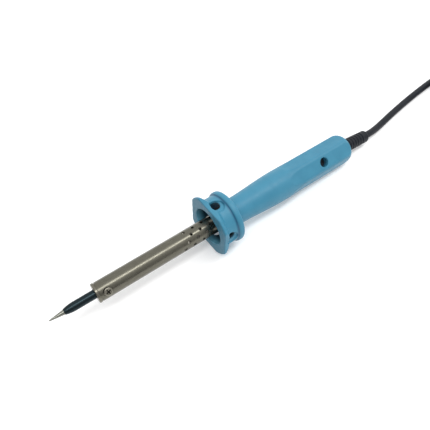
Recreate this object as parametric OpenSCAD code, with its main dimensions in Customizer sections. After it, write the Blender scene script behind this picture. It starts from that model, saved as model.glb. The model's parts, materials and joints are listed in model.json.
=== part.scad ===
// Pencil soldering iron with a one-piece handle, a perforated barrel and a mains lead.
// +X runs along the iron from the tip to the cord, +Z is up. The iron lies on z = 0, on its
// rear flange and on the rear end of its handle. Millimetres throughout.
// "u" is a distance along the iron's own axis, measured from the point of the tip.

/* [Tip] */
// Diameter of the tip's shank
tip_d = 5.2; // [4:0.1:5.2]
// Length of the bright conical point
tip_cone_l = 8.3; // [6:0.1:9]
// Where the tip's shank reaches its full diameter
tip_full_u = 14.5; // [12:0.5:18]
// Where the tip's shank ends, inside the heater
tip_end_u = 76.3; // [60:0.1:78]

/* [Barrel] */
// Outer diameter of the barrel tube
barrel_d = 11.4; // [11.2:0.1:11.6]
// Wall of the barrel tube
barrel_wall = 0.5; // [0.4:0.05:0.6]
// Front end of the nose bush
nose_u = 26.1; // [25:0.1:27]
// Place of the tip's clamp screw along the barrel
tip_screw_u = 32.1; // [31:0.1:34]
// Clamp screw's angle from straight up, towards -Y
tip_screw_angle = 54; // [0:1:90]
// Diameter of a vent hole
vent_d = 1.9; // [1:0.1:2.2]
// Distance between the vent holes of a row
vent_pitch = 6.3; // [5:0.1:7]
// Number of rows of vent holes round the barrel
vent_rows = 10; // [6:1:10]

/* [Handle] */
// Front face of the front flange
flange_u = 100.4; // [100:0.1:101.2]
// Diameter of the front flange over its round corners
flange_d = 38.2; // [36:0.1:39]
// Distance from the axis to each of the front flange's four flats
flange_flat = 16.4; // [16:0.1:17]
// Diameter of the drum between the flanges
drum_d = 30.4; // [29:0.1:31]
// Diameter of the rear flange
rear_flange_d = 32.9; // [32.6:0.1:34]
// Diameter of the four holes in the drum
drum_hole_d = 6.2; // [4:0.1:6.2]
// Diameter of the spot face round each of them
spot_face_d = 8.2; // [8:0.1:8.4]
// Diameter of the neck just behind the rear flange
neck_d = 17.2; // [17:0.1:19]
// Diameter of the grip
grip_d = 20.6; // [20:0.1:22]
// Distance from the axis to each of the grip's six flats
grip_flat = 9.35; // [9:0.05:10]
// Rear end of the handle
handle_end_u = 215; // [214:0.1:216]
// Diameter of the hole over the cord clamp's screw
side_hole_d = 6.4; // [6:0.1:7]

/* [Cord and plug] */
// Diameter of the mains lead
cord_d = 4.8; // [4.6:0.1:5]
// Rear end of the cord boot, along its own axis
boot_end_u = 237; // [232:0.5:240]
// How far the boot droops from the iron's axis, in degrees
boot_droop = 5; // [0:0.5:6]
// Width of the plug
plug_w = 35.3; // [34:0.1:36]
// Thickness of the plug
plug_h = 13.7; // [13:0.1:14]

/* [Hidden] */
$fn = 48;

gap = 0.02;               // clearance between pieces that are pressed or welded together
blue = "#5fa9d0";
black = "#1d1f24";
steel = "#8f8d80";

// Along the barrel
barrel_r = barrel_d / 2;
barrel_bore = barrel_r - barrel_wall;
lip_r = barrel_r + 0.15;  // nose bush's lip
lip_l = 1.7;
groove_l = 0.4;
barrel_u = nose_u + lip_l + groove_l;
bush_end_u = 37;
tip_r = tip_d / 2;
tip_bore = tip_r + 0.06;
screw_hole_r = 2.85;      // the clamp screw's head stands on the bush, in this hole
vent_u = 84.25;           // mean place of the first vent hole of each row
vent_last_u = 105;
vent_angle = 16.5;        // angle of the first row from straight up

// Heating element, from the inside out
heater_u = 38;
heater_l = 42;
core_bore = tip_r + 0.1;
core_r = 3.05;
mica_in_r = 3.35;
wire_r = 0.3;
wire_pitch = 1.5;
mica_out_r = 4.4;
jacket_r = 4.85;
bead_u = 80.3;
bead_l = 4;
lead_y = 2.3;             // distance of each lead from the axis
lead_r = 0.4;
sleeve_r = 1;

// Inside the handle
rim_l = 2.3;
rim_round = 0.9;
drum_u = 105.2;
rear_flange_u = 111.9;
rear_flange_end_u = 116.1;
neck_u = 118.2;
grip_u = 155;
spot_face_u = 107.2;
spot_face_h = 1.3;        // depth at its middle
hole_shift = 0.7;         // two holes sit forward of their spot faces and two behind,
hole_turn = 7.5;          // and they are turned from them round the drum, in degrees
cup_r = 12;
bulkhead_u = 111.3;
bore_r = 6.6;
bore_end_u = 208;
boot_hole_r = 5.1;
end_round = 5.3;
flat_full_u = 170;        // the grip's flats have their full depth from here
flat_run_out = 60;        // radius in which they fade out forwards
grip_angle = 45;          // angle of the flat with the side hole
side_hole_u = 188.6;
plate_t = 0.8;
collar_l = 4.5;
collar_t = 0.8;
flange_screw_r = 9;       // distance of the flange screws from the axis
block_u = 124;
block_l = 18;
tube_l = 14;
block_w = 10;
block_h = 6.8;
tube_r = 1.9;
tube_bore = 1.1;
clamp_u = 181;
clamp_l = 14;
clamp_r = 6.3;
cord_r = cord_d / 2;
cord_in_u = 170.5;        // where the lead's sheath is cut back
boot_pivot_u = 211.5;
boot_in_u = 204;

// Pose: the iron rests on the rear flange's rear edge and on the corner of the grip's flats
rear_rest_u = rear_flange_end_u - 1.4;
rear_rest = rear_flange_d / 2;
grip_edge_u = handle_end_u - 5;
grip_corner = 30 - acos(grip_flat / (grip_d / 2));
grip_rest = grip_d / 2 * cos(15 - grip_corner);
tilt = atan((rear_rest - grip_rest) / (grip_edge_u - rear_rest_u));
lift = rear_rest_u * sin(tilt) + rear_rest * cos(tilt);
boot_collar_r = 4.25;
boot_collar_edge = 0.4;
boot_tilt = tilt + boot_droop;
boot_reach = boot_end_u - boot_pivot_u;
back_x = boot_pivot_u * cos(tilt) + boot_reach * cos(boot_tilt)
    + (boot_collar_r - boot_collar_edge) * sin(boot_tilt);
middle_x = back_x / 2;

// Lead: from the boot to the hank, along the surface. Each point is [x, y, z].
lead_route = [[117.8, 0, 6.1], [123, 0.2, 5.3], [129, 0.9, 4.1], [135, 1.9, 3.1], [141, 3, 2.6],
    [148, 4.2, 2.4], [156, 5.4, 2.4], [165, 6.6, 2.4], [175, 7.8, 2.4], [185, 8.8, 2.4],
    [195, 9.6, 2.4], [205, 10.2, 2.4], [215, 10.2, 2.4], [224, 10.2, 2.4]];
// Tail: out of the hank's upper layer, over its near fold and across it to the plug on top
tail_route = [[268, -28.2, 7.2], [260, -28.2, 8.3], [252, -28.2, 10.9], [244, -28.2, 12],
    [234, -28.2, 12], [224, -28.2, 12], [214.4, -25.6, 12], [207.4, -18.6, 12], [204.8, -9, 12],
    [207.4, 0.6, 12], [214.4, 7.6, 12], [224, 10.2, 12], [234, 8.2, 12.6], [244, 0.6, 14.2],
    [254, -7, 15.8], [264, -9, 16.4], [267, -9, 16.4]];
cord_sides = 8;

// Hank: four turns in two lanes and two layers
hank_x = 224;             // centre of its near fold
hank_y = -9;
hank_run = 91;            // straight part of each run
hank_in_r = 3 * cord_d;   // inner lane's folds
hank_out_r = 4 * cord_d;  // outer lane's folds
hank_h = 2 * cord_d;
tie_x = 270;
tie_w = 5;
tie_t = 0.8;

// Plug, lying on the hank with its pins away from the iron
plug_face_x = 315;
plug_l = 34;
plug_z = hank_h + plug_h / 2;
relief_l = 14;
pin_l = 19;
sleeve_l = 10;
pin_r = 2;
pin_y = 9.3;              // half the distance between the pins at the plug's face
pin_lean = 1.66;          // the pins lean towards each other

// An arc's points, as [radius, u] pairs
function arc(cr, cu, r, a0, a1, steps = 6) =
    [for (i = [0:steps]) let (a = a0 + (a1 - a0) * i / steps) [cr + r * cos(a), cu + r * sin(a)]];
function ease(x) = x * x * (3 - 2 * x);
// Radius of the handle along its neck
function neck_r(u) = neck_d / 2 + (grip_d - neck_d) / 2 * ease((u - neck_u) / (grip_u - neck_u));

function unit(v) = v / norm(v);
function along(route, i) = unit(route[min(i + 1, len(route) - 1)] - route[max(i - 1, 0)]);
// One ring of a tube: level side vector first, then the one across it
function ring(p, t, r, n) = let (s = unit([-t[1], t[0], 0]), w = cross(t, s))
    [for (k = [0:n - 1]) let (a = 360 * (k + 0.5) / n) p + r * (s * cos(a) + w * sin(a))];

// A closed tube of n flat sides swept along a route, r from its centre line to each side
module tube_along(route, r, n = cord_sides) {
    last = len(route) - 1;
    points = [for (i = [0:last]) each ring(route[i], along(route, i), r / cos(180 / n), n)];
    sides = [for (i = [0:last - 1]) for (k = [0:n - 1]) let (j = (k + 1) % n)
        [i * n + k, (i + 1) * n + k, (i + 1) * n + j, i * n + j]];
    start = [for (k = [0:n - 1]) k];
    end = [for (k = [n - 1:-1:0]) last * n + k];
    polyhedron(points, concat(sides, [start, end]));
}

// Places its children, modelled along the iron's axis (+X), as the iron lies
module lying() {
    translate([-middle_x, 0, lift]) rotate([0, tilt, 0]) children();
}
// Turns a shape modelled along +Z into the iron's axis
module on_axis(u = 0) { translate([u, 0, 0]) rotate([0, 90, 0]) children(); }
// Places a radial shape, modelled outwards along +Z, at a place and angle on the iron
module radial(u, angle) { translate([u, 0, 0]) rotate([angle, 0, 0]) children(); }
// A round solid turned from a profile of [radius, u] points
module turned(profile) { on_axis() rotate_extrude() polygon(profile); }
module rod(u, l, r) { on_axis(u) cylinder(h = l, r = r); }
module tube(u, l, r_out, r_in) {
    difference() { rod(u, l, r_out); rod(u - 1, l + 2, r_in); }
}
// The boot droops about the pivot
module drooping() {
    translate([boot_pivot_u, 0, 0]) rotate([0, boot_droop, 0]) translate([-boot_pivot_u, 0, 0])
        children();
}

module handle() {
    flange_r = flange_d / 2;
    rear_r = rear_flange_d / 2;
    rear_round = 1.5;
    rim_end_u = flange_u + rim_l;
    grip_r = grip_d / 2;
    outline = concat(
        [[cup_r, flange_u], [flange_r - rim_round, flange_u]],
        arc(flange_r - rim_round, flange_u + rim_round, rim_round, -90, 0),
        arc(flange_r - rim_round, rim_end_u - rim_round, rim_round, 0, 60),
        [[drum_d / 2 + 0.5, drum_u - 0.3], [drum_d / 2, drum_u], [drum_d / 2, rear_flange_u]],
        arc(rear_r - rear_round, rear_flange_u + rear_round, rear_round, -60, 0),
        arc(rear_r - rear_round, rear_flange_end_u - rear_round, rear_round, 0, 80),
        [for (u = [neck_u:2.5:grip_u]) [neck_r(u), u]],
        arc(grip_r - end_round, handle_end_u - end_round, end_round, 0, 90),
        [[boot_hole_r + 0.4, handle_end_u], [boot_hole_r, handle_end_u - 0.4],
         [boot_hole_r, bore_end_u], [bore_r, bore_end_u], [bore_r, bulkhead_u],
         [cup_r, bulkhead_u]]);
    color(blue) lying() difference() {
        turned(outline);
        for (a = [0:90:270]) radial(flange_u - 1, a)
            translate([0, -20, flange_flat]) cube([drum_u - flange_u + 1, 40, 10]);
        for (a = [0:90:270]) {
            way = a < 180 ? 1 : -1;
            radial(spot_face_u - way * hole_shift, a - way * hole_turn)
                cylinder(h = 20, d = drum_hole_d);
            radial(spot_face_u, a) translate([0, 0, drum_d / 2 - spot_face_h])
                cylinder(h = 5, d = spot_face_d);
        }
        for (a = [0:60:300]) radial(0, grip_angle + a) {
            translate([flat_full_u, -10, grip_flat]) cube([60, 20, 6]);
            translate([flat_full_u, 10, grip_flat + flat_run_out]) rotate([90, 0, 0])
                cylinder(h = 20, r = flat_run_out, $fn = 180);
        }
        radial(side_hole_u, grip_angle) cylinder(h = 20, d = side_hole_d);
        for (a = [0:120:240]) radial(bulkhead_u - 1, a)
            translate([0, 0, flange_screw_r]) rotate([0, 90, 0]) cylinder(h = 4.9, r = 1.37);
    }
}

module barrel() {
    color(steel) lying() difference() {
        tube(barrel_u, bulkhead_u - barrel_u, barrel_r, barrel_bore);
        radial(tip_screw_u, tip_screw_angle) cylinder(h = 10, r = screw_hole_r);
        for (k = [0:vent_rows - 1])
            for (u = [vent_u + vent_pitch / 2 * cos(90 * k):vent_pitch:vent_last_u])
                radial(u, vent_angle + 360 / vent_rows * k) cylinder(h = 10, d = vent_d);
    }
}

// Steel collar and three-eared plate that hold the barrel's rear end on the handle's bulkhead
module barrel_flange() {
    color("#a9a79a") lying() difference() {
        union() {
            rod(bulkhead_u - plate_t, plate_t - gap, barrel_r + 2);
            for (a = [0:120:240]) radial(bulkhead_u - plate_t, a)
                translate([0, 0, flange_screw_r]) rotate([0, 90, 0])
                    cylinder(h = plate_t - gap, r = 2.7);
            rod(bulkhead_u - plate_t - collar_l, collar_l + 0.1, barrel_r + collar_t);
        }
        rod(bulkhead_u - 10, 12, barrel_r + gap);
        for (a = [0:120:240]) radial(bulkhead_u - 2, a)
            translate([0, 0, flange_screw_r]) rotate([0, 90, 0]) cylinder(h = 4, r = 1.5);
    }
}

module flange_screws() {
    head_h = 1.7;
    head_r = 2.3;
    color("#b9b7aa") lying() for (a = [0:120:240]) radial(bulkhead_u - plate_t - gap, a)
        translate([0, 0, flange_screw_r]) difference() {
            union() {
                rotate([0, 90, 0]) cylinder(h = 4.5, r = 1.35);
                rotate([0, -90, 0]) cylinder(h = head_h, r = head_r);
            }
            translate([-head_h - 0.3, -head_r - 1, -0.3]) cube([1, 2 * head_r + 2, 0.6]);
        }
}

// Turned plug in the barrel's mouth that carries the tip and its clamp screw
module nose_bush() {
    round_r = 0.45;
    body_r = barrel_bore - gap;
    color(steel) lying() difference() {
        turned(concat(
            [[tip_bore, nose_u + 0.3], [tip_bore + 0.3, nose_u], [lip_r - round_r, nose_u]],
            arc(lip_r - round_r, nose_u + round_r, round_r, -90, 0),
            arc(lip_r - round_r, nose_u + lip_l - round_r, round_r, 0, 90),
            [[body_r, nose_u + lip_l], [body_r, bush_end_u], [tip_bore, bush_end_u]]));
        radial(tip_screw_u, tip_screw_angle) cylinder(h = 10, r = 1.54);
    }
}

module tip_screw() {
    head_r = 2.4;
    head_h = 1.75;
    head_z = barrel_bore + 0.06;
    color("#9a988a") lying() radial(tip_screw_u, tip_screw_angle) difference() {
        union() {
            translate([0, 0, tip_r + 0.1]) cylinder(h = head_z - tip_r, r = 1.5);
            translate([0, 0, head_z]) rotate_extrude() polygon(concat(
                [[0, 0], [head_r, 0]], arc(head_r - 0.6, head_h - 0.6, 0.6, 0, 90), [[0, head_h]]));
        }
        for (a = [20, 110]) rotate([0, 0, a])
            translate([-1.5, -0.35, head_z + head_h - 0.8]) cube([3, 0.7, 2]);
    }
}

module tip() {
    point_r = 0.4;
    cone_r = 1.5;
    step_r = 1.75;
    swell = [for (i = [0:6]) let (f = i / 6)
        [tip_r - (tip_r - step_r) * (1 - f) * (1 - f),
         tip_cone_l + 0.15 + f * (tip_full_u - tip_cone_l - 0.15)]];
    color("#33373c") lying() turned(concat(
        [[0, 0]], arc(0, point_r, point_r, -60, 0, 3), [[cone_r, tip_cone_l]], swell,
        [[tip_r, tip_end_u - 0.4], [tip_r - 0.4, tip_end_u], [0, tip_end_u]]));
}

module heater_tube() { color(steel) lying() tube(heater_u, heater_l, core_r, core_bore); }
module mica_inner() {
    color("#d8c9a0") lying() tube(heater_u + 0.5, heater_l - 1, mica_in_r, core_r + gap);
}
// Resistance wire, wound side by side on the inner mica and cemented to it
module heater_winding() {
    base_r = mica_in_r + gap;
    wire_c = base_r + 0.2;
    first = heater_u + 2;
    turns = floor((heater_l - 4) / wire_pitch);
    profile = concat(
        [[base_r, first], [wire_c, first]],
        [for (i = [0:turns - 1]) each arc(wire_c, first + (i + 0.5) * wire_pitch, wire_r, -90, 90, 4)],
        [[wire_c, first + turns * wire_pitch], [base_r, first + turns * wire_pitch]]);
    color("#b8b4aa") lying() turned(profile);
}
module mica_outer() {
    color("#d8c9a0") lying()
        tube(heater_u + 0.5, heater_l - 1, mica_out_r, mica_in_r + 0.3 + 2 * wire_r);
}
module heater_jacket() {
    color("#a5a39a") lying() tube(heater_u + 0.5, heater_l - 1, jacket_r, mica_out_r + gap);
}
module ceramic_bead() {
    color("ivory") lying() difference() {
        rod(bead_u, bead_l, jacket_r);
        for (s = [-1, 1]) translate([0, s * lead_y, 0]) rod(bead_u - 1, bead_l + 2, sleeve_r + 0.05);
    }
}
module heater_leads() {
    color("silver") lying() for (s = [-1, 1]) translate([0, s * lead_y, 0]) rod(bead_u, 50, lead_r);
}
module lead_sleeves() {
    color("white") lying() for (s = [-1, 1]) translate([0, s * lead_y, 0])
        tube(bead_u + 0.1, block_u - bead_u - 0.6, sleeve_r, lead_r + gap);
}

// Two-way screw terminal in the grip
screw_places = [for (s = [-1, 1]) for (u = [block_u + 5.5, block_u + 12.5]) [u, s * lead_y]];
module terminal_block() {
    color("whitesmoke") lying() difference() {
        translate([block_u, -block_w / 2, -block_h / 2]) cube([block_l, block_w, block_h]);
        for (s = [-1, 1]) translate([0, s * lead_y, 0]) rod(block_u - 1, block_l + 2, tube_r + gap);
        for (p = screw_places) translate([p[0], p[1], 0]) cylinder(h = 5, r = 1.25);
    }
}
module terminal_tubes() {
    color("goldenrod") lying() difference() {
        for (s = [-1, 1]) translate([0, s * lead_y, 0])
            tube(block_u + 2, tube_l, tube_r, tube_bore);
        for (p = screw_places) translate([p[0], p[1], 0]) cylinder(h = 5, r = 0.8);
    }
}
module terminal_screws() {
    color("silver") lying() for (p = screw_places) translate([p[0], p[1], 0.55]) difference() {
        union() {
            cylinder(h = 1.6, r = 0.78);
            translate([0, 0, 1.5]) cylinder(h = 1.2, r = 1.15);
        }
        translate([-2, -0.2, 2.2]) cube([4, 0.4, 2]);
    }
}

// The lead's two insulated cores, from its cut sheath to the terminals
module cord_cores() {
    core_y = 1.15;
    insulation_r = 1.05;
    core_u = block_u + block_l + 0.5;
    bare_u = block_u + 10;
    color("#7a4a2a") lying() for (s = [-1, 1]) {
        translate([0, s * lead_y, 0]) rod(bare_u, core_u - bare_u + 0.5, 0.45);
        tube_along([[core_u, s * lead_y, 0], [core_u + 14, s * lead_y, 0],
            [core_u + 18, s * (lead_y + core_y) / 2, 0], [core_u + 22, s * core_y, 0],
            [cord_in_u - gap, s * core_y, 0]], insulation_r, 12);
    }
}
// The lead's sheath from inside the handle to the end of the boot
module cord_inner() {
    slope = tan(boot_droop);
    boot_in_z = (boot_pivot_u - boot_in_u) * slope;
    color(black) lying() tube_along([[cord_in_u, 0, 0], [clamp_u + clamp_l + 1, 0, 0],
        [boot_in_u - 5, 0, boot_in_z / 3], [boot_in_u - 2.5, 0, boot_in_z],
        [boot_in_u, 0, boot_in_z], [boot_pivot_u, 0, 0],
        [boot_pivot_u + boot_reach * cos(boot_droop), 0, -boot_reach * sin(boot_droop)]],
        cord_r * cos(180 / 16), 16);
}
module cord_clamp() {
    color("#d9d4c5") lying() difference() {
        rod(clamp_u, clamp_l, clamp_r);
        rod(clamp_u - 1, clamp_l + 2, cord_r + 0.15);
        radial(side_hole_u, grip_angle) {
            cylinder(h = 3.5, r = 1.9);
            cylinder(h = 10, r = 1.54);
            translate([0, 0, 4.5]) cylinder(h = 10, r = 2.9);
        }
    }
}
module clamp_saddle() {
    color("silver") lying() radial(side_hole_u, grip_angle)
        translate([0, 0, cord_r + 0.05]) cylinder(h = 0.85, r = 1.8);
}
module clamp_screw() {
    head_h = 1.6;
    color("#8d8b80") lying() radial(side_hole_u, grip_angle) difference() {
        union() {
            translate([0, 0, 3.35]) cylinder(h = 1.3, r = 1.5);
            translate([0, 0, 4.55]) cylinder(h = head_h, r = 2.6);
        }
        translate([-3, -0.35, 4.55 + head_h - 0.7]) cube([6, 0.7, 2]);
    }
}
module cord_boot() {
    root_r = 4.6;
    end_r = 4.2;
    groove = 0.35;
    first_u = handle_end_u + 2.5;
    rib_pitch = 2.6;
    function taper(u) = root_r + (end_r - root_r) * (u - handle_end_u) / (boot_end_u - handle_end_u);
    bore = cord_r + gap;
    ribs = [for (i = [0:5]) let (u = first_u + i * rib_pitch)
        each [[taper(u), u], [taper(u) - groove, u + 0.2], [taper(u) - groove, u + 0.9],
              [taper(u), u + 1.1]]];
    color(black) lying() drooping() turned(concat(
        [[bore, boot_in_u], [5.7, boot_in_u], [5.7, bore_end_u - 0.5], [root_r, bore_end_u - 0.4],
         [root_r, handle_end_u]], ribs,
        [[end_r, boot_end_u - 3.4], [boot_collar_r, boot_end_u - 3], [boot_collar_r, boot_end_u - 0.6],
         [boot_collar_r - boot_collar_edge, boot_end_u], [bore, boot_end_u]]));
}

module cord_lead() { color(black) tube_along(lead_route, cord_r); }
module cord_tail() { color(black) tube_along(tail_route, cord_r); }
module racetrack(r) {
    for (x = [0, hank_run]) translate([x, 0]) circle(r = r);
    translate([0, -r]) square([hank_run, 2 * r]);
}
module cord_hank() {
    color(black) translate([hank_x, hank_y, 0]) linear_extrude(hank_h) difference() {
        racetrack(hank_out_r + cord_r);
        racetrack(hank_in_r - cord_r);
    }
}
// Flat tie round both runs
module cord_tie() {
    wide = 2 * hank_out_r + cord_d;
    color("#101114") translate([tie_x, hank_y - wide / 2, 0]) difference() {
        translate([0, -tie_t, 0]) cube([tie_w, wide + 2 * tie_t, hank_h + tie_t]);
        translate([-1, 0, tie_t]) cube([tie_w + 2, wide, hank_h - tie_t]);
    }
}

// Flat two-pin plug
module plug_body() {
    corner = 3;
    waist_l = 4;
    face_l = 9;
    color(black) translate([plug_face_x, hank_y, plug_z]) rotate([0, -90, 0]) {
        hull() {
            for (y = [-1, 1]) for (z = [-1, 1])
                translate([z * (plug_h / 2 - corner), y * (plug_w / 2 - corner), 0])
                    cylinder(h = face_l, r = corner, $fn = 24);
            for (y = [-1, 1]) for (z = [-1, 1])
                translate([z * 1.5, y * 4, plug_l - waist_l])
                    cylinder(h = waist_l, r = corner, $fn = 24);
        }
        translate([0, 0, plug_l - 1]) cylinder(h = relief_l + 1, r1 = 4.3, r2 = 3.3);
    }
}
// Places a pin's child, modelled along +Z out of the plug's face
module at_pins() {
    for (s = [-1, 1]) translate([plug_face_x, hank_y + s * pin_y, plug_z])
        rotate([0, 0, -s * pin_lean]) rotate([0, 90, 0]) children();
}
module plug_pins() {
    color("#c9c7bd") at_pins() rotate_extrude() polygon(concat(
        [[0, 0.05], [1.58, 0.05], [1.58, sleeve_l], [pin_r, sleeve_l]],
        arc(pin_r - 1.2, pin_l - 1.2, 1.2, 0, 90), [[0, pin_l]]));
}
module plug_sleeves() {
    color("#15161a") at_pins() difference() {
        translate([0, 0, 0.05]) cylinder(h = sleeve_l - 0.1, r = 1.8);
        translate([0, 0, -1]) cylinder(h = sleeve_l + 2, r = 1.6);
    }
}

handle();
barrel();
barrel_flange();
flange_screws();
nose_bush();
tip_screw();
tip();
heater_tube();
mica_inner();
heater_winding();
mica_outer();
heater_jacket();
ceramic_bead();
heater_leads();
lead_sleeves();
terminal_block();
terminal_tubes();
terminal_screws();
cord_cores();
cord_inner();
cord_clamp();
clamp_saddle();
clamp_screw();
cord_boot();
cord_lead();
cord_hank();
cord_tail();
cord_tie();
plug_body();
plug_pins();
plug_sleeves();
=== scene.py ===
import json
import math

import bpy
from mathutils import Matrix, Vector


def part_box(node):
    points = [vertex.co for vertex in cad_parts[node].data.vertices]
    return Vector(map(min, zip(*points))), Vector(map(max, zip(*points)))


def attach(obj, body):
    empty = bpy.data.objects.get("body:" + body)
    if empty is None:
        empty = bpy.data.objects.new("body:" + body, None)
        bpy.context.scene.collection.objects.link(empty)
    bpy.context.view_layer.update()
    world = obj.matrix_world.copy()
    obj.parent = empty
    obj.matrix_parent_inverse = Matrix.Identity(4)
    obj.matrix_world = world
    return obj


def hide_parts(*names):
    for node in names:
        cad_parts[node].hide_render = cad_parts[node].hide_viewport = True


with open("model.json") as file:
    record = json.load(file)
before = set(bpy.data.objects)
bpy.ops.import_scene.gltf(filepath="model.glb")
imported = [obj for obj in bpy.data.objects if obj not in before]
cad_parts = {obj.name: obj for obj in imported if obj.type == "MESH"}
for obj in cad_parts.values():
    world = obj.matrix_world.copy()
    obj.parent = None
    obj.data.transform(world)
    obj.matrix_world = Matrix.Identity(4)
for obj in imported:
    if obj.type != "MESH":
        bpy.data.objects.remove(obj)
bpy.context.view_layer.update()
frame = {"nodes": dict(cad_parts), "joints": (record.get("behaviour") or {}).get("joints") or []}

MM = 0.001
IRON = "iron"

# Sizes of the CAD model that the materials follow
TIP_CONE_L = 8.3 * MM                    # the bright point of the tip
BARREL_U = 28.2 * MM                     # front end of the barrel
FLANGE_U = 100.4 * MM                    # front face of the handle's front flange
BULKHEAD_U = 111.3 * MM                  # bottom of the cup behind it, and the barrel's rear end
REAR_FLANGE_U = 111.9 * MM               # rear flange, behind the drum
CUP_R = 12 * MM
DRUM_R = 15.2 * MM
SCREW_TOP = 7.01 * MM                    # top of the tip screw's head, from the iron's axis

# The iron's axis: the tip slides out along it, and the barrel's middle lies on it
joints = {j["name"]: j for j in frame["joints"]}
along = -Vector(joints["tip_slide"]["axis"]).normalized()
barrel_low, barrel_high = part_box("barrel")
tip_point = (barrel_low + barrel_high) / 2 - along * (BARREL_U + BULKHEAD_U) / 2

CORD_D = 4.8 * MM


# Camera ------------------------------------------------------------------------------------------
def make_camera():
    azimuth, elevation, roll = (math.radians(v) for v in (-33.15, 55.16, -4.16))
    back = Vector((math.sin(azimuth) * math.cos(elevation),
                   -math.cos(azimuth) * math.cos(elevation), math.sin(elevation)))
    level = Vector((math.cos(azimuth), math.sin(azimuth), 0))
    upright = back.cross(level)
    right = level * math.cos(roll) + upright * math.sin(roll)
    up = back.cross(right)
    cam = bpy.data.cameras.new("camera")
    cam.sensor_width = 36
    cam.lens = 37.67
    cam.clip_start, cam.clip_end = 0.01, 20
    obj = bpy.data.objects.new("camera", cam)
    turned = Matrix((right, up, back)).transposed().to_4x4()
    obj.matrix_world = Matrix.Translation(Vector((-94.55, -125.5, 240.06)) * MM) @ turned
    bpy.context.scene.collection.objects.link(obj)
    bpy.context.scene.camera = obj


make_camera()


# Materials ---------------------------------------------------------------------------------------
class Nodes:
    """A material's node tree, with short calls for the nodes that are used most."""

    def __init__(self, name):
        self.material = bpy.data.materials.new(name)
        self.material.use_nodes = True
        self.tree = self.material.node_tree
        self.shader = self.tree.nodes["Principled BSDF"]
        self.coords = self.add("ShaderNodeTexCoord").outputs["Object"]

    def add(self, kind, **settings):
        node = self.tree.nodes.new(kind)
        for key, value in settings.items():
            setattr(node, key, value)
        return node

    def link(self, a, b):
        self.tree.links.new(a, b)

    def set(self, **values):
        for key, value in values.items():
            self.shader.inputs[key.replace("_", " ")].default_value = value

    def scaled(self, scale):
        node = self.add("ShaderNodeMapping")
        node.inputs["Scale"].default_value = scale
        self.link(self.coords, node.inputs["Vector"])
        return node.outputs["Vector"]

    def noise(self, size, detail=3.0, rough=0.5, vector=None):
        node = self.add("ShaderNodeTexNoise")
        node.inputs["Scale"].default_value = 1 / size
        node.inputs["Detail"].default_value = detail
        node.inputs["Roughness"].default_value = rough
        self.link(vector or self.coords, node.inputs["Vector"])
        return node.outputs["Fac"]

    def between(self, value, low, high, start=0.3, end=0.7):
        node = self.add("ShaderNodeMapRange")
        for key, v in zip(("From Min", "From Max", "To Min", "To Max"), (start, end, low, high)):
            node.inputs[key].default_value = v
        self.link(value, node.inputs["Value"])
        return node.outputs["Result"]

    def mix(self, factor, a, b):
        node = self.add("ShaderNodeMix", data_type="RGBA")
        for socket, value in ((0, factor), (6, a), (7, b)):
            if isinstance(value, (int, float, tuple)):
                node.inputs[socket].default_value = value
            else:
                self.link(value, node.inputs[socket])
        return node.outputs[2]

    def vector(self, operation, a, b=None):
        """A vector maths node; b may be a fixed vector."""
        node = self.add("ShaderNodeVectorMath", operation=operation)
        self.link(a, node.inputs[0])
        if b is not None:
            node.inputs[1].default_value = b
        return node.outputs["Value" if operation in ("DOT_PRODUCT", "LENGTH") else "Vector"]

    def distance(self, start, direction):
        """Distance of each point along a direction, from a start."""
        return self.vector("DOT_PRODUCT", self.vector("SUBTRACT", self.coords, start), direction)

    def times(self, a, b):
        node = self.add("ShaderNodeMath", operation="MULTIPLY")
        self.link(a, node.inputs[0])
        self.link(b, node.inputs[1])
        return node.outputs[0]

    def band(self, value, rise, fall):
        """Rises from 0 to 1 over one range of the value, and falls back over another."""
        return self.times(self.between(value, 0.0, 1.0, *rise), self.between(value, 1.0, 0.0, *fall))

    def bump(self, height, depth):
        node = self.add("ShaderNodeBump")
        node.inputs["Distance"].default_value = depth
        self.link(height, node.inputs["Height"])
        self.link(node.outputs["Normal"], self.shader.inputs["Normal"])

    def colour(self, value):
        self.link(value, self.shader.inputs["Base Color"])

    def rough(self, value):
        self.link(value, self.shader.inputs["Roughness"])


def rgb(r, g, b):
    """A colour given as sRGB from 0 to 255, as linear RGBA."""
    def linear(c):
        c /= 255
        return c / 12.92 if c <= 0.04045 else ((c + 0.055) / 1.055) ** 2.4
    return (linear(r), linear(g), linear(b), 1.0)


def plastic(name, dark, light, low, high, grain=0.35 * MM, depth=0.012 * MM, blotch=9 * MM):
    """Moulded plastic: slow colour drift, a fine grain and uneven gloss."""
    m = Nodes(name)
    m.colour(m.mix(m.between(m.noise(blotch), 0.0, 1.0), dark, light))
    m.rough(m.between(m.noise(2.5 * MM, 4), low, high))
    m.bump(m.noise(grain, 2), depth)
    return m


def metal(name, dark, light, low, high, stretch=(1, 1, 1), size=0.4 * MM, depth=0.004 * MM):
    """Bare or plated metal, with tool marks stretched one way."""
    m = Nodes(name)
    m.set(Metallic=1.0)
    marks = m.noise(size, 4, 0.6, m.scaled(stretch))
    m.colour(m.mix(m.between(marks, 0.0, 1.0), dark, light))
    m.rough(m.between(m.noise(3 * MM, 4), low, high))
    m.bump(marks, depth)
    return m


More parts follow.
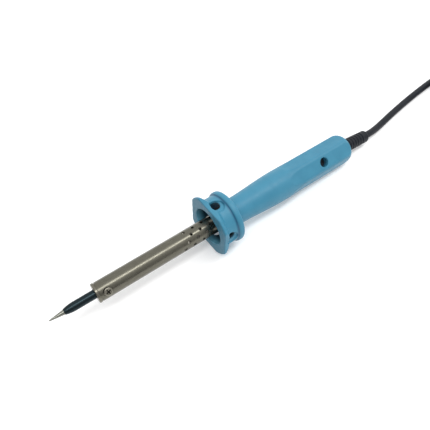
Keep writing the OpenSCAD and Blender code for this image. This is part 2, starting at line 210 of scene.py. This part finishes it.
def handle_material():
    """Pale blue moulding plastic, with painted shade and painted light: painted shade dulls and
    darkens the front face, painted light makes the cup's mouth paler, and painted shade darkens the
    deep cup, the drum's holes and the crease before the rear flange."""
    m = plastic("handle_plastic", rgb(50, 119, 146), rgb(57, 127, 154), 0.4, 0.52)
    m.set(Specular_IOR_Level=0.38)
    # the plastic's own colour, before the painted shade and painted light are mixed in
    plain_colour = m.shader.inputs["Base Color"].links[0].from_socket
    place = m.distance(tip_point, along)
    across = m.vector("CROSS_PRODUCT", m.vector("SUBTRACT", m.coords, tip_point), along)
    radius = m.vector("LENGTH", across)
    # painted shade: the front face is dulled and darkened
    face = m.between(place, 0.32, 0.0, FLANGE_U + 0.4 * MM, FLANGE_U + 0.9 * MM)
    shaded_face = m.mix(face, plain_colour, rgb(20, 48, 60))
    # painted light: the cup's mouth is made paler
    mouth = m.times(m.between(radius, 0.75, 0.0, CUP_R + 0.05 * MM, CUP_R + 0.3 * MM),
                    m.between(place, 1.0, 0.0, FLANGE_U + 1.6 * MM, FLANGE_U + 5.6 * MM))
    lit_mouth = m.mix(mouth, shaded_face, rgb(104, 166, 190))
    # painted shade: darker deep in the cup and in the drum's holes
    deep = m.times(m.between(radius, 0.8, 0.0, DRUM_R - 1.8 * MM, DRUM_R - 1.4 * MM),
                   m.band(place, (FLANGE_U + 2.1 * MM, FLANGE_U + 5.6 * MM),
                          (BULKHEAD_U + 0.1 * MM, BULKHEAD_U + 0.4 * MM)))
    shaded_cup = m.mix(deep, lit_mouth, rgb(9, 22, 30))
    # painted shade: darker in the crease before the rear flange
    crease = m.times(m.between(radius, 0.65, 0.0, DRUM_R + 0.4 * MM, DRUM_R + 0.9 * MM),
                     m.band(place, (REAR_FLANGE_U - 1.3 * MM, REAR_FLANGE_U - 0.1 * MM),
                            (REAR_FLANGE_U + 0.3 * MM, REAR_FLANGE_U + 1.0 * MM)))
    m.colour(m.mix(crease, shaded_cup, rgb(12, 62, 96)))
    return m


handle_mat = handle_material()
barrel_mat = metal("barrel_steel", rgb(94, 92, 83), rgb(108, 106, 96), 0.22, 0.32, (0.12, 1, 1))
bush_mat = metal("bush_steel", rgb(100, 98, 89), rgb(122, 119, 108), 0.22, 0.34, (1, 0.2, 0.2))
inner_steel = metal("inner_steel", rgb(110, 108, 100), rgb(140, 138, 130), 0.35, 0.5)
# painted shade: steel coloured dark for parts that sit in shade inside the cup and in the grip's side
# hole
shade_dark_steel = metal("shade_dark_steel", rgb(40, 42, 46), rgb(56, 58, 62), 0.34, 0.5)
screw_steel = metal("screw_steel", rgb(104, 101, 92), rgb(134, 131, 121), 0.24, 0.36)
brass = metal("terminal_brass", rgb(150, 112, 48), rgb(182, 142, 74), 0.25, 0.4)
nickel = metal("pin_nickel", rgb(150, 149, 143), rgb(176, 174, 168), 0.14, 0.24, (0.2, 1, 1))
mica = plastic("mica", rgb(176, 158, 112), rgb(200, 184, 140), 0.3, 0.5)
ceramic = plastic("ceramic", rgb(190, 185, 170), rgb(208, 203, 190), 0.6, 0.8)
sleeving = plastic("sleeving", rgb(190, 186, 174), rgb(208, 204, 195), 0.7, 0.9, 0.5 * MM, 0.08 * MM)
block_mat = plastic("block_plastic", rgb(180, 176, 164), rgb(196, 193, 182), 0.4, 0.55)
clamp_mat = plastic("clamp_plastic", rgb(44, 104, 130), rgb(52, 114, 140), 0.4, 0.55)
core_mat = plastic("core_insulation", rgb(40, 62, 120), rgb(50, 74, 140), 0.35, 0.5)
rubber = plastic("cord_rubber", rgb(15, 19, 27), rgb(22, 26, 33), 0.42, 0.58, 0.3 * MM)
tie_mat = plastic("tie_plastic", rgb(18, 18, 20), rgb(25, 25, 28), 0.42, 0.58)
plug_mat = plastic("plug_plastic", rgb(20, 21, 23), rgb(28, 29, 32), 0.45, 0.6, 0.25 * MM, 0.02 * MM)
for look in (rubber, tie_mat, plug_mat):
    look.set(Specular_IOR_Level=0.22)


def tip_material():
    """Black oxide on the shank, and a bright tinned cone at the point."""
    m = Nodes("tip_plating")
    shank = m.between(m.distance(tip_point, along), 0.0, 1.0, TIP_CONE_L,
                      TIP_CONE_L + 0.25 * MM)
    marks = m.noise(0.5 * MM, 4, 0.6)
    bright = m.mix(m.between(marks, 0, 1), rgb(112, 113, 106), rgb(140, 141, 133))
    oxide = m.mix(m.between(marks, 0, 1), rgb(32, 42, 45), rgb(44, 54, 58))
    m.colour(m.mix(shank, bright, oxide))
    m.set(Metallic=1.0)
    m.rough(m.between(m.noise(2 * MM, 3), 0.2, 0.3))
    m.bump(marks, 0.003 * MM)
    return m


def tip_screw_material():
    """Bright steel on top of the head, and painted shade on all of the head below its top: in its
    slots and round its rim.
    """
    m = metal("tip_screw_steel", rgb(116, 113, 102), rgb(150, 147, 135), 0.26, 0.4)
    turn = joints["tip_screw_turn"]
    bright = m.shader.inputs["Base Color"].links[0].from_socket
    outward = Vector(turn["axis"]).normalized()
    height = m.distance(tip_point, outward)
    # painted shade: the head is dark below its top, in the slots and round the rim
    unshaded_top = m.between(height, 0.0, 1.0, SCREW_TOP - 0.5 * MM, SCREW_TOP - 0.3 * MM)
    m.colour(m.mix(unshaded_top, rgb(40, 38, 33), bright))
    return m


tip_mat = tip_material()
tip_screw_mat = tip_screw_material()


def dress(node, look):
    """Gives a CAD node its material."""
    materials = frame["nodes"][node].data.materials
    materials.clear()
    materials.append(look.material)


for node, look in {
    "handle": handle_mat, "barrel": barrel_mat, "barrel_flange": shade_dark_steel,
    "flange_screws": shade_dark_steel, "nose_bush": bush_mat, "tip_screw": tip_screw_mat,
    "tip": tip_mat, "heater_tube": inner_steel, "mica_inner": mica,
    "heater_winding": inner_steel, "mica_outer": mica, "heater_jacket": inner_steel,
    "ceramic_bead": ceramic, "heater_leads": inner_steel, "lead_sleeves": sleeving,
    "terminal_block": block_mat, "terminal_tubes": brass, "terminal_screws": screw_steel,
    "cord_cores": core_mat, "cord_inner": rubber, "cord_clamp": clamp_mat,
    "clamp_saddle": inner_steel, "clamp_screw": shade_dark_steel, "cord_boot": rubber,
    "cord_tie": tie_mat, "plug_body": plug_mat, "plug_pins": nickel, "plug_sleeves": plug_mat,
}.items():
    dress(node, look)


# Soft moulded edges ------------------------------------------------------------------------------
def soften(node, voxel, passes):
    """Rounds every edge of a moulded CAD piece by rebuilding its surface finely and relaxing it."""
    obj = frame["nodes"][node]
    grid = obj.modifiers.new("moulded_surface", "REMESH")
    grid.mode = "VOXEL"
    grid.voxel_size = voxel
    grid.use_smooth_shade = True
    relax = obj.modifiers.new("moulded_edges", "SMOOTH")
    relax.factor = 0.5
    relax.iterations = passes


def round_edges(node, width):
    """Rounds the edges of a CAD piece that has flat sides."""
    bevel = frame["nodes"][node].modifiers.new("round_edges", "BEVEL")
    bevel.width = width
    bevel.segments = 3
    bevel.limit_method = "ANGLE"
    bevel.angle_limit = math.radians(40)


soften("handle", 0.35 * MM, 3)
soften("plug_body", 0.5 * MM, 8)
round_edges("cord_tie", 0.3 * MM)


# Lead --------------------------------------------------------------------------------------------
# The same points as the CAD's routes, in metres
LEAD_ROUTE = [Vector(p) * MM for p in (
    (117.8, 0, 6.1), (123, 0.2, 5.3), (129, 0.9, 4.1), (135, 1.9, 3.1), (141, 3, 2.6),
    (148, 4.2, 2.4), (156, 5.4, 2.4), (165, 6.6, 2.4), (175, 7.8, 2.4), (185, 8.8, 2.4),
    (195, 9.6, 2.4), (205, 10.2, 2.4), (215, 10.2, 2.4), (224, 10.2, 2.4))]
TAIL_ROUTE = [Vector(p) * MM for p in (
    (268, -28.2, 7.2), (260, -28.2, 8.3), (252, -28.2, 10.9), (244, -28.2, 12), (234, -28.2, 12),
    (224, -28.2, 12), (214.4, -25.6, 12), (207.4, -18.6, 12), (204.8, -9, 12), (207.4, 0.6, 12),
    (214.4, 7.6, 12), (224, 10.2, 12), (234, 8.2, 12.6), (244, 0.6, 14.2), (254, -7, 15.8),
    (264, -9, 16.4), (267, -9, 16.4))]
HANK_NEAR = Vector((224, -9, 0)) * MM    # centre of the near fold
HANK_RUN = 91 * MM
HANK_TURNS = 4
RUN_STEPS = 7
FOLD_STEPS = 8
# When the turns change lane or layer: start and end, in quarter turns from the hank's start
STEP_IN = (3.5, 4.0)
STEP_UP = (7.0, 7.6)
STEP_OUT = (10.55, 10.95)


def eased(x, start, end):
    """0 before start and 1 after end, with a smooth rise between them."""
    f = min(1.0, max(0.0, (x - start) / (end - start)))
    return f * f * (3 - 2 * f)


def hank_points():
    """Four turns in two lanes and two layers: outer and inner below, inner and outer above.
    t counts quarter turns: out along +Y's side, far fold, back along -Y's side, near fold."""
    points = []
    last = 4 * HANK_TURNS - 2
    for quarter in range(4 * HANK_TURNS):
        steps = FOLD_STEPS if quarter % 2 else RUN_STEPS
        for k in range(1, steps + 1):
            t = quarter + k / steps
            part, f = quarter % 4, k / steps
            inward = eased(t, *STEP_IN) - eased(t, *STEP_OUT)
            radius = CORD_D * (4 - inward)
            height = CORD_D * (0.5 + eased(t, *STEP_UP))
            far = HANK_NEAR + Vector((HANK_RUN, 0, 0))
            if part == 0:
                place = HANK_NEAR + Vector((HANK_RUN * f, radius, 0))
            elif part == 1:
                a = math.radians(90 - 180 * f)
                place = far + Vector((radius * math.cos(a), radius * math.sin(a), 0))
            elif part == 2:
                place = far + Vector((-HANK_RUN * f, -radius, 0))
            else:
                a = math.radians(-90 - 180 * f)
                place = HANK_NEAR + Vector((radius * math.cos(a), radius * math.sin(a), 0))
            if quarter >= last and place.x < TAIL_ROUTE[0].x + 8 * MM:
                return points
            points.append(place + Vector((0, 0, height)))
    return points


def smooth_line(points, steps=4):
    """Points of a Catmull-Rom curve through the given points."""
    ends = [points[0] * 2 - points[1], *points, points[-1] * 2 - points[-2]]
    line = []
    for a, b, c, d in zip(ends, ends[1:], ends[2:], ends[3:]):
        for k in range(steps):
            t = k / steps
            line.append(0.5 * (2 * b + (c - a) * t + (2 * a - 5 * b + 4 * c - d) * t * t
                               + (3 * b - a - 3 * c + d) * t ** 3))
    return [*line, points[-1]]


def make_cord():
    line = smooth_line([*LEAD_ROUTE, *hank_points(), *TAIL_ROUTE])
    curve = bpy.data.curves.new("mains_lead", "CURVE")
    curve.dimensions = "3D"
    curve.bevel_depth = CORD_D / 2
    curve.bevel_resolution = 6
    curve.use_fill_caps = True
    spline = curve.splines.new("POLY")
    spline.points.add(len(line) - 1)
    for point, place in zip(spline.points, line):
        point.co = (*place, 1)
    spline.use_smooth = True
    curve.materials.append(rubber.material)
    obj = bpy.data.objects.new("mains_lead", curve)
    bpy.context.scene.collection.objects.link(obj)
    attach(obj, IRON)
    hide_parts("cord_lead", "cord_hank", "cord_tail")


make_cord()


# Floor and light ---------------------------------------------------------------------------------
def make_floor():
    """A white table that glows a little, which lifts the shadows."""
    size = 3.0
    mesh = bpy.data.meshes.new("floor")
    mesh.from_pydata([(-size, -size, 0), (size, -size, 0), (size, size, 0), (-size, size, 0)],
                     [], [(0, 1, 2, 3)])
    look = Nodes("floor")
    look.set(Base_Color=(0.88, 0.88, 0.88, 1), Roughness=0.6, Emission_Color=(1, 1, 1, 1),
             Emission_Strength=0.16)
    mesh.materials.append(look.material)
    obj = bpy.data.objects.new("floor", mesh)
    bpy.context.scene.collection.objects.link(obj)


def make_lamp(name, place, energy, size, target=(0, 0, 0)):
    """A rectangular softbox; size is its length along X and its depth."""
    lamp = bpy.data.lights.new(name, "AREA")
    lamp.shape = "RECTANGLE"
    lamp.energy = energy
    lamp.size, lamp.size_y = size
    obj = bpy.data.objects.new(name, lamp)
    back = (Vector(place) - Vector(target)).normalized()
    side = Vector((1, 0, 0))
    up = back.cross(side).normalized()
    turned = Matrix((up.cross(back), up, back)).transposed().to_4x4()
    obj.matrix_world = Matrix.Translation(place) @ turned
    bpy.context.scene.collection.objects.link(obj)


def make_light():
    """A pale room that darkens towards the camera's side, and one strip softbox overhead."""
    world = bpy.data.worlds.new("studio")
    world.use_nodes = True
    tree = world.node_tree
    sky = tree.nodes["Background"]
    coords = tree.nodes.new("ShaderNodeTexCoord")
    lean = tree.nodes.new("ShaderNodeVectorMath")
    lean.operation = "DOT_PRODUCT"
    lean.inputs[1].default_value = Vector((0.6, 0.45, 0.65)).normalized()
    tree.links.new(coords.outputs["Generated"], lean.inputs[0])
    shade = tree.nodes.new("ShaderNodeMapRange")
    for key, value in zip(("From Min", "From Max", "To Min", "To Max"), (-0.5, 0.75, 0.35, 1.2)):
        shade.inputs[key].default_value = value
    tree.links.new(lean.outputs["Value"], shade.inputs["Value"])
    tree.links.new(shade.outputs["Result"], sky.inputs["Strength"])
    sky.inputs["Color"].default_value = (1, 1, 1, 1)
    bpy.context.scene.world = world
    make_lamp("key", (0.1, -0.17, 0.75), 4, (1.2, 0.17))
    bpy.context.scene.view_settings.view_transform = "Standard"


make_floor()
make_light()
